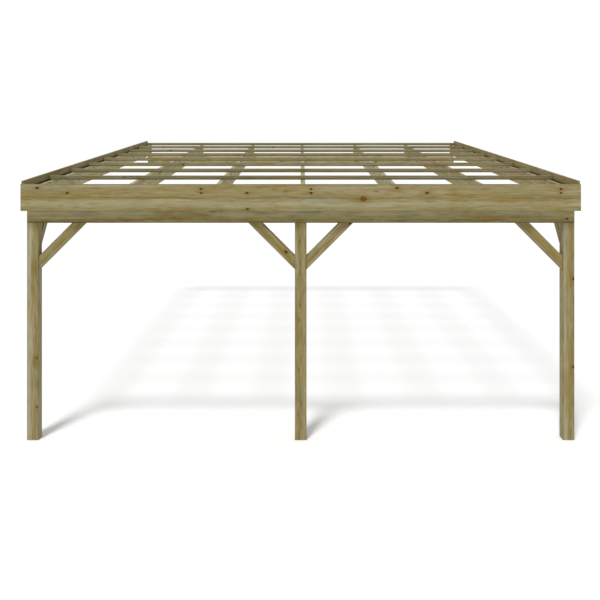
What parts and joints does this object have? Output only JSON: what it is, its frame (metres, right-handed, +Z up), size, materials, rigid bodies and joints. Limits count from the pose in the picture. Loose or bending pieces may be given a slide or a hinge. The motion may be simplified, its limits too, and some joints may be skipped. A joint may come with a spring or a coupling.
{
  "type": "lean-to carport frame",
  "caption": "Open timber carport frame for a wall: front posts with braces carry a beam, sloping rafters, purlins, a fascia and edge boards; a plate fixes the rear to the wall.",
  "frame": {"origin": "middle of the wall plate's rear face, on the plane of the wall", "axes": "+Z up, +Y out of the rear face into the wall, +X to the right as seen from the front"},
  "size_m": [5.74, 6.948, 2.9924],
  "materials": {
    "post_timber": "planed and pressure treated, matt",
    "beam_timber": "planed and pressure treated, matt",
    "rafter_timber": "sawn and pressure treated, matt",
    "purlin_timber": "sawn and pressure treated, matt",
    "board_timber": "planed and pressure treated, matt",
    "brace_timber": "planed and pressure treated, matt",
    "fixings": "dull coated screws"
  },
  "bodies": {
    "root": {"post_left": "post_timber", "post_centre": "post_timber", "post_right": "post_timber", "front_beam": "beam_timber", "front_fascia": "board_timber", "wall_plate": "beam_timber", "edge_board_left": "board_timber", "edge_board_right": "board_timber", "rafter_1": "rafter_timber", "rafter_2": "rafter_timber", "rafter_3": "rafter_timber", "rafter_4": "rafter_timber", "rafter_5": "rafter_timber", "rafter_6": "rafter_timber", "rafter_7": "rafter_timber", "purlin_1": "purlin_timber", "purlin_2": "purlin_timber", "purlin_3": "purlin_timber", "purlin_4": "purlin_timber", "purlin_5": "purlin_timber", "purlin_6": "purlin_timber", "purlin_7": "purlin_timber", "purlin_8": "purlin_timber", "front_brace_left": "brace_timber", "front_brace_centre_left": "brace_timber", "front_brace_centre_right": "brace_timber", "front_brace_right": "brace_timber", "side_brace_left": "brace_timber", "side_brace_right": "brace_timber"}
  },
  "joints": []
}
